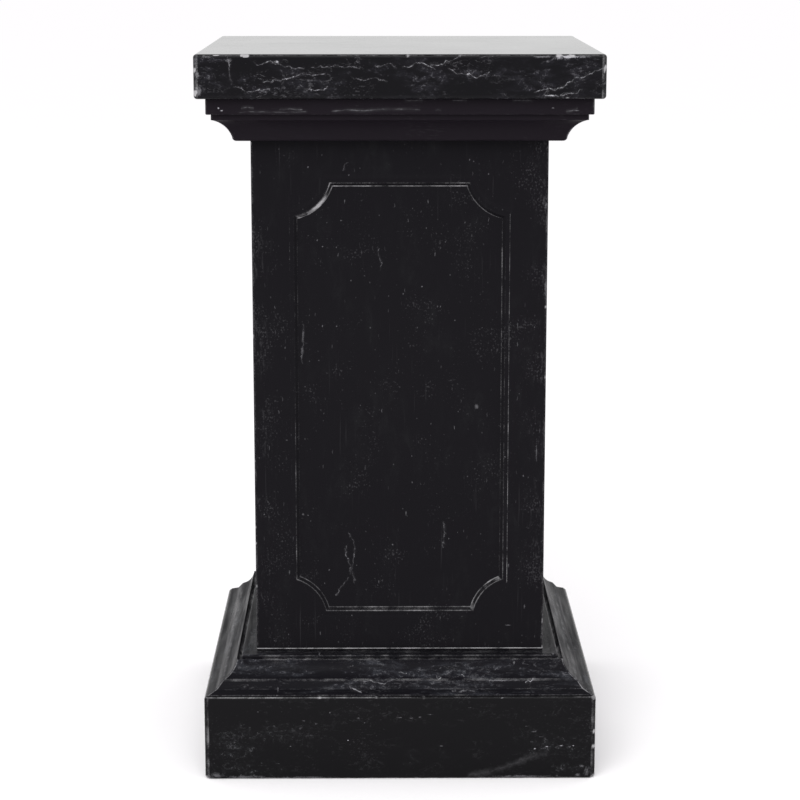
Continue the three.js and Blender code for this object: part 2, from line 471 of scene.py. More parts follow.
def panel_loop(offset, half_width, half_height):
    """The panel's outline moved inwards by an offset, from the upper right scoop anticlockwise."""
    upper = scoop(offset, half_width, half_height, *TOP_SCOOP)
    lower = scoop(offset, half_width, half_height, *LOW_SCOOP) * (1, -1)
    mirror = np.array([-1, 1])
    corners = [upper, upper[::-1] * mirror, lower * mirror, lower[::-1]]
    stretches = []
    for k, corner in enumerate(corners):
        steps = SIDE_STEPS if k % 2 else END_STEPS
        straight = np.linspace(corner[-1], corners[(k + 1) % 4][0], steps + 1)
        stretches += [corner[:-1], straight[:-1]]
    return np.vstack(stretches)


def inside(points, loop):
    """Which points lie inside a closed loop, by counting crossings."""
    x, y = points[:, :1], points[:, 1:]
    ax, ay = loop[:, 0], loop[:, 1]
    bx, by = np.roll(ax, -1), np.roll(ay, -1)
    crosses = ((ay > y) != (by > y)) & (x < (bx - ax) * (y - ay) / np.where(by == ay, 1, by - ay) + ax)
    return crosses.sum(1) % 2 == 1


def filled(loops, extra=()):
    """Triangles that fill the region inside the first loop and outside the others, with extra points."""
    points = np.vstack([*loops, *extra])
    edges = []
    start = 0
    for loop in loops:
        ring = np.arange(start, start + len(loop))
        edges += list(zip(ring.tolist(), np.roll(ring, -1).tolist()))
        start += len(loop)
    verts, _, faces, *_ = delaunay_2d_cdt([Vector(p) for p in points], edges, [], 0, 1e-6)
    verts = np.array([tuple(v) for v in verts])
    faces = np.array([list(face) for face in faces])
    middles = verts[faces].mean(1)
    keep = inside(middles, loops[0])
    for hole in loops[1:]:
        keep &= ~inside(middles, hole)
    return verts, faces[keep]


def add_rims(patches, face):
    """The shaft's foot and top: a small rounding, the foot line, and the flat beds."""
    rim = round_foot(face.half, 0, SHAFT_RIM_RADIUS, RIM_STEPS)
    rows = np.vstack([rim, [(face.half, height) for height, _ in FOOT_LINE]])
    foot_wear = np.array([RIM_WEAR] * len(rim) + [wear_and_painted_light for _, wear_and_painted_light in FOOT_LINE])
    top_wear = np.array([RIM_WEAR] * len(rim) + [0] * len(FOOT_LINE))
    loops = [square_ring(half, SHAFT_ARRIS_RADIUS, face.across / face.flat) for half, _ in rows]
    for wear_and_painted_light, flip in ((foot_wear, False), (top_wear, True)):
        heights = [face.height - z if flip else z for _, z in rows]
        grid = np.stack([raised(loop, z) for loop, z in zip(loops, heights)])
        order = slice(None, None, -1 if flip else 1)
        patches.add_grid(grid[order], wear_and_painted_light[order][:, None], closed=True)
        patches.add_fan(grid[0], flip, 0)


def add_corner_strips(patches, face):
    """The rounded vertical arrises between the faces."""
    ring = square_ring(face.half, SHAFT_ARRIS_RADIUS, face.across / face.flat)
    per_side = len(face.across) + ARC_STEPS - 1
    shoulder = [0, 0.18, 0.35]
    wear_and_painted_light = np.hstack([shoulder, np.full(ARC_STEPS - 1, SHAFT_ARRIS_WEAR), shoulder[::-1]])
    for k in range(4):
        columns = (k * per_side + len(face.across) - 3 + np.arange(len(wear_and_painted_light))) % len(ring)
        strip = np.stack([raised(ring[columns], z) for z in face.levels])
        patches.add_grid(strip, wear_and_painted_light[None, :])


def panel_wear_and_highlight(stretches):
    """Wear and painted bevel highlight of the panel's edge, row by row and point by point round its outline.
    """
    lines = []
    for k, stretch in enumerate(stretches):
        run = np.linspace(0, 1, (SCOOP_STEPS, END_STEPS, SCOOP_STEPS, SIDE_STEPS)[k % 4])
        values = [np.interp(run, np.linspace(0, 1, len(line)), line) for line in stretch]
        lines.append(np.column_stack(values))
    lines = np.vstack(lines)
    rows = [[line.get(offset, 0) for line in PANEL_LINES] for offset, _ in PANEL_EDGE]
    return np.stack([(np.array(row) * lines).max(1) for row in rows])


def add_faces(patches, face):
    """The four faces: flat frame, bevelled edge of the panel, and the panel's sunk field."""
    loops = [panel_loop(offset, face.half_width, face.half_height) for offset, _ in PANEL_EDGE]
    xs = np.arange(FIELD_STEP - face.half_width, face.half_width, FIELD_STEP)
    ys = np.arange(FIELD_STEP - face.half_height, face.half_height, FIELD_STEP)
    lattice = np.array([(x, y) for x in xs for y in ys])
    field_edge = panel_loop(PANEL_EDGE[-1][0] + LATTICE_MARGIN, face.half_width, face.half_height)
    lattice = lattice[inside(lattice, field_edge)]
    frame_points, frame_faces = filled([face.border(), loops[0]])
    field_points, field_faces = filled([loops[-1]], [lattice])
    for k in range(4):
        edge = np.stack([face.point(loop, depth, k) for loop, (_, depth) in zip(loops, PANEL_EDGE)])
        # On the front face the bevel and the brightest scoops carry painted highlight; the other faces only
        # wear
        wear_and_painted_light = panel_wear_and_highlight(FRONT_PANEL_WEAR_AND_HIGHLIGHT if k == 0 else PLAIN_PANEL_WEAR)
        patches.add_grid(edge, wear_and_painted_light, closed=True)
        patches.add(face.point(frame_points, 0, k), frame_faces, 0)
        patches.add(face.point(field_points, PANEL_DEPTH, k), field_faces, 0)


def shaft_surface(half, bed, top):
    """Points, faces and wear of the shaft."""
    face = ShaftFace(half, top - bed)
    patches = Patches()
    add_rims(patches, face)
    add_corner_strips(patches, face)
    add_faces(patches, face)
    return patches.surface(bed)


# Chips, nicks and uneven wear

def uneven_wear(surface, half, above, stops):
    """Scales the wear of a block's front above a height, by factors at places across it."""
    points, _, wear_and_painted_light = surface
    front = (points[:, 1] < ARRIS_RADIUS - half) & (points[:, 2] > above)
    wear_and_painted_light[front] *= np.interp(points[front, 0], *zip(*stops))


def ripple(points, rng, wavelength):
    """A smooth uneven field from -1 to 1, different at each call."""
    total = np.zeros(len(points))
    for _ in range(4):
        direction = rng.normal(size=3)
        direction *= math.tau / wavelength / np.linalg.norm(direction)
        total += np.sin(points @ direction + rng.uniform(0, math.tau))
    return total / 4


def chip(surface, rng, centre, along, inward, reach, depth, level=CHIP_WEAR):
    """Breaks an edge away: points nearer the edge than an uneven plane move on to that plane."""
    points, _, wear_and_painted_light = surface
    along = np.array(along) / np.linalg.norm(along)
    inward = np.array(inward) / np.linalg.norm(inward)
    offset = points - centre
    run = offset @ along / reach
    plane = depth * (1 - run**2) * (1 + CHIP_RIPPLE * ripple(points, rng, max(reach, CHIP_WAVELENGTH)))
    lift = plane - offset @ inward
    near = np.linalg.norm(offset, axis=1) < reach + 4 * depth
    cut = (np.abs(run) < 1) & (lift > 0) & near
    points[cut] += lift[cut, None] * inward
    wear_and_painted_light[cut] = np.maximum(wear_and_painted_light[cut], level)


def front_chips(surface, rng, half, low, high, chips):
    """Breaks the front edges of a block where a list of (edge, place along it, reach, depth) says."""
    edges = {
        "left": ((-half, -half, 0), (0, 0, 1), (1, 1, 0)),
        "right": ((half, -half, 0), (0, 0, 1), (-1, 1, 0)),
        "top": ((0, -half, high), (1, 0, 0), (0, 1, -1)),
        "foot": ((0, -half, low), (1, 0, 0), (0, 1, 1)),
    }
    for edge, place, reach, depth in chips:
        origin, along, inward = edges[edge]
        chip(surface, rng, np.array(origin) + np.array(along) * place, along, inward, reach, depth)


def nick_edges(surface, rng, half, low, high, per_metre, depths, upright_only=False):
    """Scatters small nicks along the edges of a square block."""
    edges = [((sx * half, sy * half, (low + high) / 2), (0, 0, 1), (-sx, -sy, 0), (high - low) / 2)
             for sx in (-1, 1) for sy in (-1, 1)]
    for z, up in () if upright_only else ((low, 1), (high, -1)):
        for sign in (-1, 1):
            edges.append(((0, sign * half, z), (1, 0, 0), (0, -sign, up), half))
            edges.append(((sign * half, 0, z), (0, 1, 0), (-sign, 0, up), half))
    for centre, along, inward, half_length in edges:
        for _ in range(rng.poisson(per_metre * 2 * half_length * MM)):
            spot = np.array(centre) + np.array(along) * rng.uniform(-half_length, half_length)
            reach = rng.uniform(*NICK_REACH)
            chip(surface, rng, spot, along, inward, reach, rng.uniform(*depths), NICK_WEAR)


# Material nodes

def operator(operation):
    """A method that adds a math node."""
    return lambda value, other=0: value.graph.math(operation, value, other)


class Value:
    """A number at each point of a surface, from a node's output; arithmetic on it adds nodes."""

    def __init__(self, graph, socket):
        self.graph, self.socket = graph, socket

    __add__ = operator("ADD")
    __sub__ = operator("SUBTRACT")
    __mul__ = operator("MULTIPLY")
    __truediv__ = operator("DIVIDE")
    __gt__ = operator("GREATER_THAN")
    __abs__ = operator("ABSOLUTE")

    def __rsub__(self, other):
        return self.graph.math("SUBTRACT", other, self)


class Graph:
    """Short ways to add shader nodes; most methods give back a value."""

    def __init__(self, name):
        self.material = bpy.data.materials.new(name)
        self.material.use_nodes = True
        self.tree = self.material.node_tree
        self.shader = self.tree.nodes["Principled BSDF"]

    def set(self, socket, value):
        if isinstance(value, Value):
            self.tree.links.new(value.socket, socket)
        else:
            socket.default_value = value

    def set_named(self, node, values):
        for key, value in values.items():
            self.set(node.inputs[key], value)

    def node(self, kind, *values, named=(), **settings):
        """A node with its settings, and its inputs set or linked, in order or by name."""
        node = self.tree.nodes.new("ShaderNode" + kind)
        for key, value in settings.items():
            setattr(node, key, value)
        for socket, value in zip(node.inputs, values):
            self.set(socket, value)
        self.set_named(node, dict(named))
        return node

    def add(self, kind, *values, output=0, **settings):
        return Value(self, self.node(kind, *values, **settings).outputs[output])

    def math(self, operation, *values, clamp=False):
        return self.add("Math", *values, operation=operation, use_clamp=clamp)

    def strongest(self, values):
        return reduce(lambda first, second: self.math("MAXIMUM", first, second), values)

    def vector(self, operation, *values):
        return self.add("VectorMath", *values, operation=operation)

    def stretched(self, place, scale):
        return self.vector("MULTIPLY", place, scale)

    def split(self, vector):
        return [Value(self, socket) for socket in self.node("SeparateXYZ", vector).outputs]

    def noise(self, place, scale, detail=4, roughness=0.55, distortion=0, output="Fac"):
        named = {"Scale": scale, "Detail": detail, "Roughness": roughness, "Distortion": distortion}
        return self.add("TexNoise", place, output=output, named=named)

    def cells(self, place, scale, feature="F1"):
        """A pattern of cells: distance, and a random colour for each cell where the feature has one."""
        node = self.node("TexVoronoi", place, named={"Scale": scale}, feature=feature)
        return {socket.name: Value(self, socket) for socket in node.outputs}

    def step(self, value, low, high, to_low=0, to_high=1):
        """A smooth step of the value between two thresholds."""
        return self.add("MapRange", value, low, high, to_low, to_high, interpolation_type="SMOOTHSTEP")

    def curve(self, value, points):
        """A broken line through points whose coordinates run from 0 to 1."""
        node = self.node("FloatCurve", named={"Value": value})
        line = node.mapping.curves[0]
        line.points[0].location = points[0]
        line.points[1].location = points[-1]
        for x, y in points[1:-1]:
            line.points.new(x, y)
        for point in line.points:
            point.handle_type = "VECTOR"
        node.mapping.update()
        return Value(self, node.outputs[0])

    def blend(self, factor, below, above):
        node = self.node("Mix", factor, data_type="RGBA")
        self.set(node.inputs[6], below)
        self.set(node.inputs[7], above)
        return Value(self, node.outputs[2])


# Front of the slab: routes of (x, z) for bright and faint veins, and (z, x) for those that rise
SLAB_VEINS = [
    [(-176, 905), (-170, 901), (-161, 905), (-152, 905), (-144, 901), (-133, 899), (-126, 896), (-113, 899)],
    [(-166, 881), (-155, 882), (-141, 884), (-128, 887), (-119, 890), (-112, 891), (-104, 889), (-88, 891)],
    [(-114, 869), (-108, 873), (-101, 871), (-93, 871), (-86, 876)],
    [(1, 899), (13, 899), (19, 904), (26, 905), (34, 901), (50, 902), (55, 906), (61, 906), (68, 910),
     (75, 913)],
    [(56, 897), (71, 891), (83, 891), (91, 886), (101, 890), (108, 894)],
    [(159, 867), (170, 871), (179, 873), (187, 871), (197, 876), (205, 881), (209, 886), (217, 886),
     (245, 898)],
]
SLAB_FAINT_VEINS = [
    [(-201, 877), (-190, 874), (-184, 869), (-176, 870), (-168, 872), (-155, 873)],
    [(-108, 899), (-88, 899), (-72, 900), (-47, 898)],
    [(-30, 900), (-22, 900), (-12, 904), (-3, 897)],
    [(26, 904), (34, 901), (43, 897)],
    [(168, 904), (179, 906), (187, 910)],
    [(172, 864), (190, 865), (202, 867), (212, 869), (220, 873)],
    [(-60, 888), (-48, 884), (-30, 886), (-14, 881)],
]
SLAB_RISING_VEINS = [
    [(877, -201), (887, -204), (899, -205), (912, -206)],
]
SLAB_MARKS = [
    (-241, 869, 4, 7), (-243, 890, 3, 9), (-232, 911, 8, 1.8), (-205, 907, 5, 3), (-148, 905, 4, 2),
    (-26, 900, 4, 1.2), (219, 911, 10, 2.4), (172, 911, 14, 1.6),
]
SLAB_BRIGHT_MARKS = [(181, 865, 9, 1.3), (203, 911, 14, 2.2), (190, 910, 6, 3.4), (-147, 905, 1.6, 1.6)]
SLAB_CLOUDS = [
    (-184, 884, 16, 9), (88, 891, 34, 13), (150, 893, 24, 9), (-25, 897, 26, 9), (-165, 872, 40, 8),
]

# Shaft front: routes of (z, x)
SHAFT_RISING_VEINS = [
    [(237, -58), (258, -62), (272, -59), (289, -58), (309, -65)],
    [(250, -64), (262, -64), (274, -68), (290, -70)],
    [(642, -24), (655, -23), (664, -27), (672, -26)],
    [(285, 56), (305, 57), (322, 55)],
    [(768, -70), (773, -69), (779, -65)],
    [(222, -80), (232, -77), (240, -70), (248, -66)],
    [(524, -122), (535, -122.5), (546, -121), (557, -121), (567, -120.5), (577, -122)],
    [(533, -124), (541, -123.5), (550, -121.5), (558, -122.5)],
]
SHAFT_MARKS = [
    (97, 470, 3.4, 4), (-63, 763, 1.4, 1.4), (-121.5, 561, 1.5, 9), (-122.5, 542, 1.9, 6),
    (-143, 428, 3, 1.2), (8, 333, 1.1, 5), (-123, 330, 2, 1.6), (-117, 329, 1.5, 1.2), (-141, 255, 1.1, 3.5),
    (140, 184, 4.5, 1), (160, 209, 1.5, 4.5), (181, 725, 2.5, 12), (182, 622, 2.2, 14),
    (173, 412, 1.3, 16),
]
SHAFT_CLOUDS = [(72, 686, 8, 15), (165, 660, 14, 40), (-175, 700, 8, 60), (165, 340, 12, 45)]

# Plinth, cap and base fronts
PLINTH_VEINS = [
    [(84, 4), (110, 8), (132, 15), (150, 23), (170, 30), (190, 36)],
]
PLINTH_MARKS = [
    (-150, 90, 1.2, 1.2), (-89, 89, 1.2, 1.2), (38, 86, 5, 0.8), (-180, 90, 1.2, 1), (-235, 5, 13, 5),
    (-195, 3, 34, 3), (-120, 2, 40, 2), (226, 5, 4, 3), (238, 10, 5, 7), (231, 17, 3, 2), (150, 3, 50, 2),
    (-122, 78, 2.6, 0.8), (-53, 81.5, 2, 0.8), (0, 82, 4, 0.8), (14, 81, 3, 0.9), (25, 82.5, 2.4, 0.7),
    (89, 95, 3, 0.7), (160, 70, 3.4, 0.8), (170, 63, 4.4, 0.9), (178, 56, 4, 0.8), (52, 44, 2.4, 0.7),
]
PLINTH_BRIGHT_MARKS = [
    (-66, 52, 1.3, 1.3), (171, 40, 1.9, 1.5), (187, 43, 2.6, 1), (205, 44, 4, 1), (220, 44, 1.5, 1),
]
PLINTH_CLOUDS = [
    (-208, 45, 40, 32), (195, 45, 52, 22), (-190, 16, 60, 16), (-140, 62, 62, 20), (215, 14, 30, 12),
]
CAP_VEINS = [
    [(-84, 845), (-65, 847), (-41, 846), (-18, 848), (18, 848)],
    [(200, 845), (208, 846), (215, 849)],
    [(-192, 849), (-184, 850), (-176, 849)],
    [(-146, 847), (-132, 848), (-117, 847)],
]
CAP_FAINT_VEINS = [
    [(-196, 844), (-178, 845), (-150, 844), (-110, 845)],
    [(0, 847), (14, 848), (25, 847)],
    [(5, 858), (16, 858), (28, 858)],
    [(63, 858), (72, 858), (81, 858)],
    [(135, 858), (148, 858), (160, 858)],
    [(42, 846), (46, 847), (50, 846)],
]
CAP_MARKS = [(213, 846, 4, 0.9), (184, 849, 2.5, 0.8)]
CAP_BRIGHT_MARKS = [(-215, 846, 2.4, 1.2), (-219, 849, 1.8, 1.2)]
BASE_VEINS = [
    [(-71, 122), (-65, 120), (-63, 116), (-56, 115), (-48, 112)],
    [(-2, 131), (1, 132), (5, 130), (9, 130)],
    [(46, 128), (49, 125), (53, 126.5)],
    [(78, 129), (80, 129), (82, 127)],
    [(159, 122), (163, 123.5), (166, 122), (169, 125), (173, 126)],
]
BASE_FAINT_VEINS = [
    [(-48, 122), (-39, 124), (-20, 120), (-14, 123.5), (-5, 125)],
    [(65, 114), (72, 113), (84, 114), (97, 112.6)],
    [(111, 123.7), (127, 123.3), (154, 124.2)],
]
BASE_MARKS = [(146, 142.5, 1.8, 3), (-155, 115, 0.8, 3), (-156, 110, 1.6, 1.2)]
BASE_CLOUDS = [
    (-15, 132, 70, 10), (-185, 134, 30, 9), (140, 134, 80, 10), (75, 120, 60, 7), (-60, 120, 50, 6),
]


@dataclass
class Stone:
    """How one block's stone looks: linear tones, strengths of its layers, and scales in cells per metre."""

    tone: tuple
    cloud_tone: tuple
    clouds: float
    cloud_scale: tuple
    wear_and_painted_light: float
    dust: float
    dust_scale: tuple
    flecks: tuple
    front: float
    edge: float
    specular: float
    roughness: tuple
    clear: float = 0.46
    smear_scale: tuple = (9, 9, 5)
    hairs: float = 0
    hair_scale: tuple = (15, 15, 38)
    crackle: float = 0
    streaks: float = 0
    scuffs: float = 0
    runs: bool = False
    veins: tuple = ()
    faint_veins: tuple = ()
    rising_veins: tuple = ()
    vein_width: float = 0.5
    vein_grey: float = 0.3
    vein_jag: float = 11
    patchiness: float = 2.2
    cloud_patches: tuple = ()
    marks: tuple = ()
    mark_grey: float = 0.11
    bright_marks: tuple = ()


class Ground:
    """Coordinates and noises that the layers of one stone share.

    The coordinates of along run round the block: along its side, out from the axis, and up.
    """

    def __init__(self, graph, stone):
        self.place = graph.add("TexCoord", output="Object")
        self.x, self.y, self.z = graph.split(self.place)
        out_x, out_y = abs(self.x), abs(self.y)
        on_side = out_x > out_y
        on_front = 1 - on_side
        turn = on_side * graph.math("SIGN", self.x) * SIDE_SHIFT + on_front * graph.math("SIGN", self.y)
        run = on_side * self.y + on_front * self.x + turn
        self.along = graph.add("CombineXYZ", run, graph.math("MAXIMUM", out_x, out_y), self.z)
        self.lie = self.along if stone.runs else self.place
        self.fine = graph.noise(self.place, FINE_SCALE, 2, 0.6)
        self.grain = graph.noise(self.place, GRAIN_SCALE, 4, 0.65)
        self.crowd = graph.noise(self.place, CROWD_SCALE, 3, 0.6)
        self.front = graph.step(self.y, -stone.front - FRONT_BLEND, -stone.front, 1, 0)
        inner = graph.math("MINIMUM", out_x, out_y)
        self.near_edge = graph.step(inner, stone.edge - EDGE_REACH, stone.edge)


def grey(level, blue=1.06):
    """A stone grey, a touch cool."""
    return (level, level * 0.985, level * blue, 1)


def spots(graph, ground, patches, soft):
    """Ragged patches on the front, given by their centre and half sizes in millimetres."""
    found = []
    for cx, cz, rx, rz in patches:
        across = (ground.x - cx * MM) / (rx * MM)
        up = (ground.z - cz * MM) / (rz * MM)
        found.append(1 - graph.math("SQRT", across * across + up * up))
    ragged = ground.fine * 1.8 + (ground.grain * 2.4 - 2.2)
    return graph.step(graph.strongest(found) + ragged, 0, soft) * ground.front


def cloud_layer(graph, stone, ground):
    """Soft grey clouds with wisps in them."""
    place = graph.stretched(ground.lie, stone.cloud_scale)
    field = graph.step(graph.noise(place, 1, 3), stone.clear, stone.clear + 0.22)
    if stone.cloud_patches:
        field = graph.strongest([field, spots(graph, ground, stone.cloud_patches, 0.9)])
    wisps = graph.step(graph.noise(place, 4, 7, 0.72, 0.6), 0.4, 0.72)
    speckle = graph.step(ground.grain, 0.3, 0.7, 0.5, 1.2)
    return graph.math("MULTIPLY", field * wisps * speckle, stone.clouds, clamp=True)


def hair_layer(graph, stone, ground):
    """Hairlines along the ridges of a noise, broken up."""
    place = graph.stretched(ground.lie, stone.hair_scale)
    ridge = abs(graph.noise(place, 1, 6, 0.68, 0.5) - 0.5)
    line = graph.step(ridge, 0.002, 0.012, 1, 0)
    here = graph.step(graph.noise(place, 0.7, 2), 0.46, 0.6)
    return line * here * graph.step(ground.grain, 0.4, 0.6) * stone.hairs


def crackle_layer(graph, stone, ground):
    """A net of fine cracks inside the clouds."""
    shake = graph.noise(ground.place, 90, 3, 0.65, output="Color")
    bent = graph.vector("ADD", ground.place, graph.stretched(shake, (0.026, 0.026, 0.014)))
    net = graph.cells(graph.stretched(bent, (1, 1, 1.7)), 110, "DISTANCE_TO_EDGE")["Distance"]
    line = graph.step(net, 0.015, 0.07, 1, 0)
    here = graph.step(ground.cloud, 0.05, 0.4)
    return line * here * graph.step(ground.grain, 0.44, 0.58) * stone.crackle


def dust_layer(graph, stone, ground):
    """Fine grit, gathered in patches and along the upright edges."""
    grit = graph.noise(graph.stretched(ground.along, stone.dust_scale), 1, 2, 0.6)
    gathered = ground.crowd * 0.8 + ground.near_edge * 0.07
    return graph.step(grit + gathered, 1.06, 1.24) * stone.dust


def fleck_layer(graph, ground, along, up, strength):
    """Small pale specks, thicker in some places."""
    shake = graph.stretched(graph.noise(ground.place, 300, 2, output="Color"), (0.003, 0, 0.003))
    place = graph.stretched(graph.vector("ADD", ground.along, shake), (along, 5, up))
    cell = graph.cells(place, 1)
    chance, size, shade = graph.split(cell["Color"])
    kept = ground.crowd * 0.9 + chance > 1.25
    edge = size * size * 0.1 + 0.04
    dot = graph.step(cell["Distance"] - edge, -0.06, 0.03, 1, 0)
    bright = shade * shade * shade * 0.85 + 0.15
    return dot * kept * bright * strength


def streak_layer(graph, stone, ground):
    """Thin upright scratches."""
    lines = graph.noise(graph.stretched(ground.along, (420, 6, 13)), 1, 2, 0.5)
    here = graph.noise(graph.stretched(ground.along, (22, 6, 7)), 1, 2)
    return graph.step(lines, 0.62, 0.8) * graph.step(here, 0.48, 0.66) * stone.streaks


def scuff_layer(graph, stone, ground):
    """Rubbed patches along the upright edges."""
    rubs = graph.noise(graph.stretched(ground.place, (260, 260, 70)), 1, 4, 0.65)
    close = ground.near_edge * ground.near_edge * ground.near_edge
    return close * graph.step(rubs, 0.52, 0.7) * graph.step(ground.crowd, 0.44, 0.6) * stone.scuffs


def vein(graph, ground, route, along, across, width, jag):
    """A vein along a route of (along, across) points in millimetres: its hairline and its haze."""
    points = np.array(route) * MM
    first, last = points[[0, -1], 0]
    low, high = points[:, 1].min(), points[:, 1].max() + 0.01 * MM
    run = (along - first) / (last - first)
    unit = (points - (first, low)) / (last - first, high - low)
    course = graph.curve(run, unit.tolist()) * (high - low) + low
    shake = graph.noise(ground.place, 130, 4, 0.7) - 0.5
    away = abs(across - (shake * (jag * MM) + course))
    ends = graph.step(run, 0, VEIN_TAPER) * graph.step(run, 1 - VEIN_TAPER, 1, 1, 0)
    line = graph.step(away, width * 0.2 * MM, width * MM, 1, 0) * ends
    haze = graph.step(away, 0, HAZE_SPREAD * width * MM, 1, 0) * ends
    return line, haze


def vein_layer(graph, stone, ground):
    """The listed veins of the front, beaded along their length, and the haze beside them."""
    groups = [(stone.veins, ground.x, ground.z, 1), (stone.faint_veins, ground.x, ground.z, FAINT_VEIN),
              (stone.rising_veins, ground.z, ground.x, RISING_VEIN)]
    lines, hazes = [], []
    for routes, along, across, strength in groups:
        for route in routes:
            line, haze = vein(graph, ground, route, along, across, stone.vein_width, stone.vein_jag)
            lines.append(line * strength)
            hazes.append(haze * strength)
    beads = graph.step(graph.noise(ground.place, 190, 3, 0.6), 0.4, 0.62, 0.15, 1)
    patchy = graph.step(graph.noise(ground.place, 70, 3, 0.6), 0.36, 0.58, 0.3, 1)
    line = graph.strongest(lines) * ground.front * beads * patchy
    return line, graph.strongest(hazes) * ground.front * patchy


def wear_and_painted_light_layer(graph, stone, ground):
    """Pale worn edges with the painted highlight and painted light that share their attribute, and the fresh
    breaks of chips.
    """
    wear_and_painted_light = graph.add("Attribute", output="Fac", attribute_name="wear_and_painted_light")
    patchy = graph.noise(ground.place, 45, 4, 0.65) * stone.patchiness + (0.75 - 0.5 * stone.patchiness)
    # Pale where worn, and where the attribute paints the front panel's bevel highlight and the base's quirk
    # light
    worn = graph.step(wear_and_painted_light * stone.wear_and_painted_light * patchy + (ground.fine * 0.5 - 0.25), 0.12, 1)
    fresh = graph.step(wear_and_painted_light, 1.6, 2) * graph.step(ground.grain, 0.36, 0.6, 0.15, 1)
    return worn, fresh


# Layers laid over the clouds in this order: the strength that switches each on, its function and its grey
OVERLAYS = [
    ("streaks", streak_layer, 0.06), ("scuffs", scuff_layer, 0.1), ("hairs", hair_layer, 0.12),
    ("crackle", crackle_layer, 0.16), ("dust", dust_layer, 0.1),
]


def stone_material(name, stone):
    """Polished black marble: grey clouds, hairline veins, crackle, pale flecks, and worn arrises with some
    painted light.
    """
    graph = Graph(name)
    ground = Ground(graph, stone)
    ground.cloud = cloud_layer(graph, stone, ground)
    fleck = graph.strongest([fleck_layer(graph, ground, *settings) for settings in stone.flecks])
    worn, fresh = wear_and_painted_light_layer(graph, stone, ground)

    colour = graph.blend(ground.cloud, (*stone.tone, 1), (*stone.cloud_tone, 1))
    for strength, layer, level in OVERLAYS:
        if getattr(stone, strength):
            colour = graph.blend(layer(graph, stone, ground), colour, grey(level))
    colour = graph.blend(fleck, colour, grey(FLECK_GREY))
    if stone.veins or stone.rising_veins:
        line, haze = vein_layer(graph, stone, ground)
        colour = graph.blend(haze * HAZE_STRENGTH, colour, grey(HAZE_GREY))
        colour = graph.blend(line, colour, grey(stone.vein_grey))
    if stone.marks:
        colour = graph.blend(spots(graph, ground, stone.marks, 0.9), colour, grey(stone.mark_grey))
    if stone.bright_marks:
        colour = graph.blend(spots(graph, ground, stone.bright_marks, 0.8), colour, grey(BRIGHT_MARK_GREY))
    # Worn edges, with painted highlight on the front panel's bevel and painted light in the base's quirk
    colour = graph.blend(worn, colour, grey(WORN_AND_PAINTED_LIGHT_GREY, 1.02))
    colour = graph.blend(fresh, colour, grey(BREAK_GREY, 1.01))

    smear = graph.noise(graph.stretched(ground.lie, stone.smear_scale), 1, 5, 0.6)
    rough = graph.step(smear, 0.3, 0.75, *stone.roughness)
    relief = fleck * -0.6 + (ground.fine * 0.12 + worn * -0.5)
    bump = {"Strength": BUMP_STRENGTH, "Distance": BUMP_DEPTH * MM, "Height": relief}
    graph.set_named(graph.shader, {
        "Base Color": colour,
        "Roughness": worn * 0.3 + rough,
        "Normal": graph.add("Bump", named=bump),
        "Specular IOR Level": stone.specular,
    })
    return graph.material


def plain_floor_material():
    """A matt floor, close to white."""
    graph = Graph("studio_floor")
    tone = graph.noise(graph.add("TexCoord", output="Object"), 3, 3)
    colour = graph.blend(tone, *(grey(level, 1) for level in FLOOR_GREYS))
    graph.set_named(graph.shader, {"Base Color": colour, "Roughness": 0.9, "Specular IOR Level": 0})
    return graph.material


# Objects

def new_object(name, data):
    """A new object in the scene."""
    made = bpy.data.objects.new(name, data)
    bpy.context.scene.collection.objects.link(made)
    return made


def stone_piece(name, node, surface, stone):
    """Makes the detailed block that stands for a CAD node."""
    points, faces, wear_and_painted_light = surface
    mesh = bpy.data.meshes.new(name + "_block")
    mesh.from_pydata((points * MM).tolist(), [], faces)
    # The attribute carries wear, and painted light on the front panel's bevel and in the base's quirk
    mesh.attributes.new("wear_and_painted_light", "FLOAT", "POINT").data.foreach_set("value", wear_and_painted_light.astype(np.float32))
    work = bmesh.new()
    work.from_mesh(mesh)
    bmesh.ops.remove_doubles(work, verts=work.verts, dist=MERGE_DISTANCE * MM)
    bmesh.ops.recalc_face_normals(work, faces=work.faces)
    work.to_mesh(mesh)
    work.free()
    mesh.shade_smooth()
    mesh.set_sharp_from_angle(angle=SHARP_ANGLE)
    mesh.materials.append(stone_material("marble_" + name, stone))
    piece = new_object(name + "_block", mesh)
    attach(piece, "root")
    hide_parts(node)


def make_slab():
    """The overhanging slab at the top."""
    half, low, high = node_size("top_slab")
    rng = np.random.default_rng(SEED + 1)
    surface = plain_block(half, low, high, low_wear=0.35, high_wear=0.6, corner_strength=0.65)
    front_chips(surface, rng, half, low, high, [
        ("left", 868, 8, 2.8), ("left", 894, 5, 2.9), ("right", 897, 4, 2.9),
        ("top", -186, 9, 2.6), ("top", -220, 4, 2.1), ("top", 190, 4, 2.5), ("top", 206, 6, 2.7),
    ])
    nick_edges(surface, rng, half, low, high, per_metre=5, depths=(1.9, 2.4))
    stone_piece("slab", "top_slab", surface, Stone(
        tone=(0.0042, 0.004, 0.005), cloud_tone=(0.03, 0.029, 0.037), clouds=0.64,
        cloud_scale=(11, 11, 26), wear_and_painted_light=0.75, dust=0.25, dust_scale=(260, 60, 480),
        flecks=((90, 230, 0.3), (170, 190, 0.25)), front=0.238, edge=0.248, specular=0.071,
        roughness=(0.11, 0.13), hairs=0.55, hair_scale=(20, 20, 52), crackle=0.5,
        veins=SLAB_VEINS, faint_veins=SLAB_FAINT_VEINS, rising_veins=SLAB_RISING_VEINS,
        vein_grey=0.37, cloud_patches=SLAB_CLOUDS, marks=SLAB_MARKS, bright_marks=SLAB_BRIGHT_MARKS))


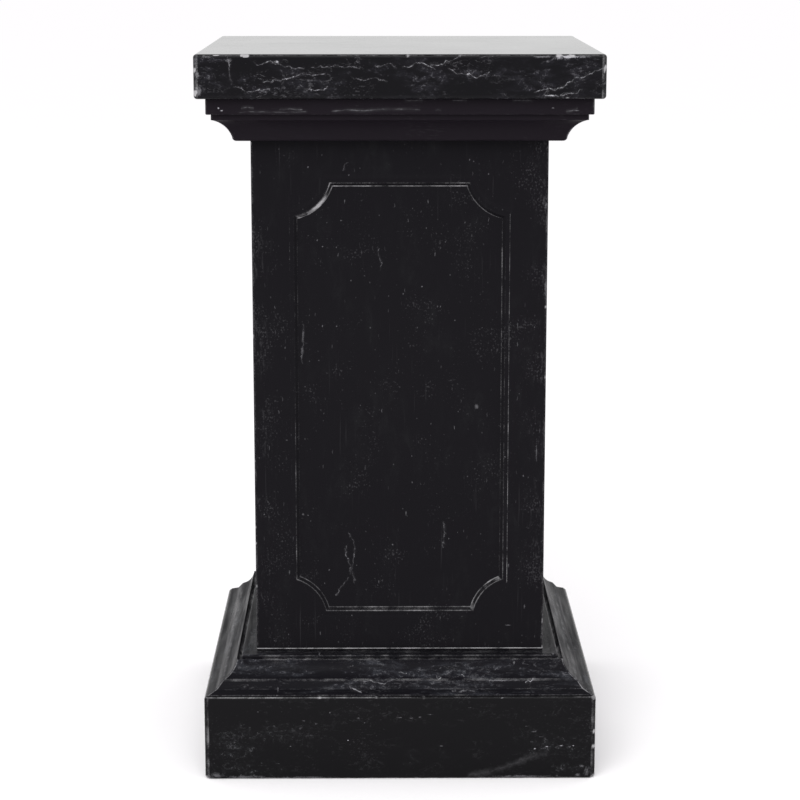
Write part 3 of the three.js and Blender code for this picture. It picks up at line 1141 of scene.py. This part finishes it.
def make_cap():
    """The moulding under the slab."""
    half, low, high = node_size("cap_moulding")
    surface = swept_block(*cap_profile(half, high - low), low, corner_strength=0.7)
    stone_piece("cap", "cap_moulding", surface, Stone(
        tone=(0.0096, 0.0077, 0.0102), cloud_tone=(0.018, 0.016, 0.021), clouds=0.15,
        cloud_scale=(9, 60, 60), wear_and_painted_light=0.5, dust=0.06, dust_scale=(120, 300, 500),
        flecks=((90, 170, 0.15),), front=0.19, edge=0.235, specular=0.02, roughness=(0.35, 0.45),
        runs=True, veins=CAP_VEINS, faint_veins=CAP_FAINT_VEINS, vein_width=0.75, vein_grey=0.095,
        vein_jag=3, marks=CAP_MARKS, bright_marks=CAP_BRIGHT_MARKS))


def make_shaft():
    """The panelled shaft."""
    half, low, high = node_size("shaft")
    rng = np.random.default_rng(SEED + 3)
    surface = shaft_surface(half, low, high)
    nick_edges(surface, rng, half, low, high, per_metre=10, depths=(0.9, 1.5), upright_only=True)
    stone_piece("shaft", "shaft", surface, Stone(
        tone=(0.0068, 0.0063, 0.0077), cloud_tone=(0.02, 0.021, 0.022), clouds=0.2,
        cloud_scale=(22, 22, 8), wear_and_painted_light=0.68, dust=0.25, dust_scale=(430, 60, 340),
        flecks=((170, 120, 0.28), (240, 45, 0.25)), front=0.168, edge=0.184, specular=0.02,
        roughness=(0.12, 0.2), streaks=0.25, scuffs=0.28, rising_veins=SHAFT_RISING_VEINS,
        vein_grey=0.21, cloud_patches=SHAFT_CLOUDS, marks=SHAFT_MARKS, mark_grey=0.07))


def make_base():
    """The moulding that the shaft stands on."""
    half, low, high = node_size("base_moulding")
    surface = swept_block(*base_profile(half, high - low), low, corner_strength=0.9)
    stone_piece("base", "base_moulding", surface, Stone(
        tone=(0.0062, 0.0059, 0.0076), cloud_tone=(0.033, 0.035, 0.042), clouds=0.9,
        cloud_scale=(8, 34, 34), wear_and_painted_light=0.75, patchiness=2.8, dust=0.18,
        dust_scale=(240, 420, 420),
        flecks=((120, 170, 0.4),), front=0.19, edge=0.245, specular=0.025, roughness=(0.25, 0.55),
        smear_scale=(7, 90, 90), hairs=0.4, hair_scale=(12, 60, 60), crackle=0.35,
        runs=True, veins=BASE_VEINS, faint_veins=BASE_FAINT_VEINS, vein_width=0.6, vein_jag=5,
        cloud_patches=BASE_CLOUDS, marks=BASE_MARKS))


def make_plinth():
    """The plain block at the foot."""
    half, low, high = node_size("plinth")
    rng = np.random.default_rng(SEED + 5)
    surface = plain_block(half, low, high, low_wear=0.9, high_wear=1, corner_strength=0.6)
    uneven_wear(surface, half, (low + high) / 2, PLINTH_TOP_WEAR)
    front_chips(surface, rng, half, low, high, [
        ("right", 63, 3, 2.7), ("right", 43, 3, 2.7), ("left", 25, 5, 1.9),
    ])
    for sx, z, up, depth in ((1, high, -1, 4.6), (-1, low, 1, 6), (1, low, 1, 5.2)):
        corner = (sx * half, -half, z)
        chip(surface, rng, corner, (0, 0, 1), (-sx, 1, up), CORNER_CHIP_REACH, depth, NICK_WEAR)
    nick_edges(surface, rng, half, low, high, per_metre=4, depths=(1.9, 2.3))
    stone_piece("plinth", "plinth", surface, Stone(
        tone=(0.0052, 0.005, 0.0057), cloud_tone=(0.024, 0.025, 0.027), clouds=0.6,
        cloud_scale=(12, 12, 22), clear=0.6, wear_and_painted_light=0.65, patchiness=2.6, dust=0.14,
        dust_scale=(280, 60, 430), front=0.238, edge=0.248, specular=0.06,
        flecks=((110, 200, 0.6), (60, 260, 0.35), (52, 130, 0.9)),
        roughness=(0.12, 0.2), hairs=0.12, hair_scale=(24, 24, 60), crackle=0.4,
        veins=PLINTH_VEINS, vein_width=1.3, vein_grey=0.032, vein_jag=14, cloud_patches=PLINTH_CLOUDS,
        marks=PLINTH_MARKS, mark_grey=0.08, bright_marks=PLINTH_BRIGHT_MARKS))


def make_studio():
    """A wide pale floor, an even white room and one large soft light above the camera."""
    mesh = bpy.data.meshes.new("studio_floor")
    corners = [(x * FLOOR_REACH, y * FLOOR_REACH, 0) for x, y in ((-1, -1), (1, -1), (1, 1), (-1, 1))]
    mesh.from_pydata(corners, [], [(0, 1, 2, 3)])
    mesh.materials.append(plain_floor_material())
    floor = new_object("studio_floor", mesh)

    world = bpy.data.worlds.new("studio_room")
    world.use_nodes = True
    background = world.node_tree.nodes["Background"]
    background.inputs["Color"].default_value = (1, 1, 1, 1)
    background.inputs["Strength"].default_value = ROOM_LIGHT
    bpy.context.scene.world = world

    light = bpy.data.lights.new("soft_key", "AREA")
    light.shape = "RECTANGLE"
    light.size, light.size_y = KEY_SIZE
    light.energy = KEY_POWER
    key = new_object("soft_key", light)
    key.location = KEY_PLACE
    key.rotation_euler = (Vector(KEY_AIM) - key.location).to_track_quat("-Z", "Y").to_euler()
    bpy.context.scene.view_settings.view_transform = "Standard"


def make_camera():
    """The photograph's viewpoint."""
    data = bpy.data.cameras.new("photo_camera")
    data.sensor_width = SENSOR
    data.lens = CAMERA_LENS
    data.clip_end = CAMERA_FAR
    camera = new_object("photo_camera", data)
    camera.location = Vector(CAMERA_PLACE) * MM
    camera.rotation_euler = (math.pi / 2 - CAMERA_PITCH, 0, -CAMERA_YAW)
    bpy.context.scene.camera = camera


make_camera()
make_studio()
make_plinth()
make_base()
make_shaft()
make_cap()
make_slab()

bpy.context.view_layer.update()
